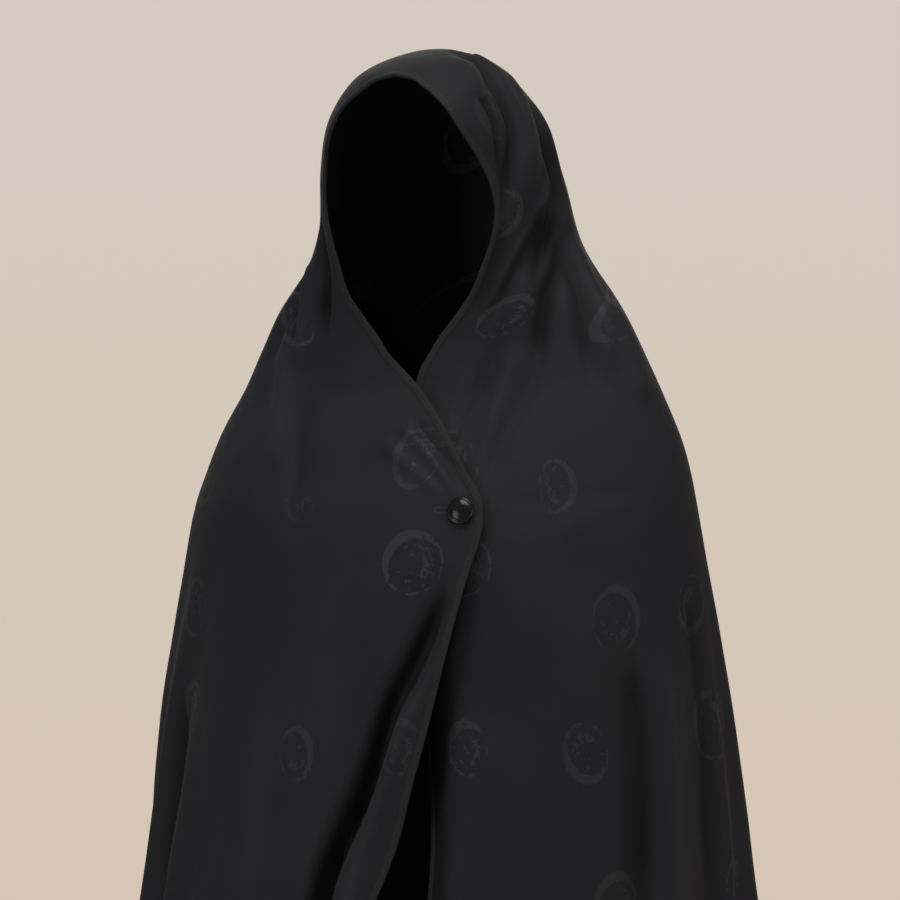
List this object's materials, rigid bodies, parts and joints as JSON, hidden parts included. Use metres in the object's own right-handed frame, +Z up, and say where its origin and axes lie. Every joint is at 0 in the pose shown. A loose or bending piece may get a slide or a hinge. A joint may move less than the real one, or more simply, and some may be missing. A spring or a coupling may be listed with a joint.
{
  "type": "chador",
  "caption": "Full-length hooded open cloak of thin black cloth with an open face, lapped fronts and a buttoned lap at the chest.",
  "frame": {"origin": "inside the top of the hood, where the crown of the wearer's head bears", "axes": "+Z up along the body, the wearer faces -Y, +X to the wearer's left"},
  "size_m": [0.8074, 0.5839, 1.5615],
  "materials": {
    "crepe": "matte black crepe with a slightly glossier woven ring motif",
    "button_plastic": "glossy black",
    "thread": "matte black sewing thread"
  },
  "bodies": {
    "root": {"cloak": "crepe", "button": "button_plastic", "button_thread": "thread"}
  },
  "joints": []
}
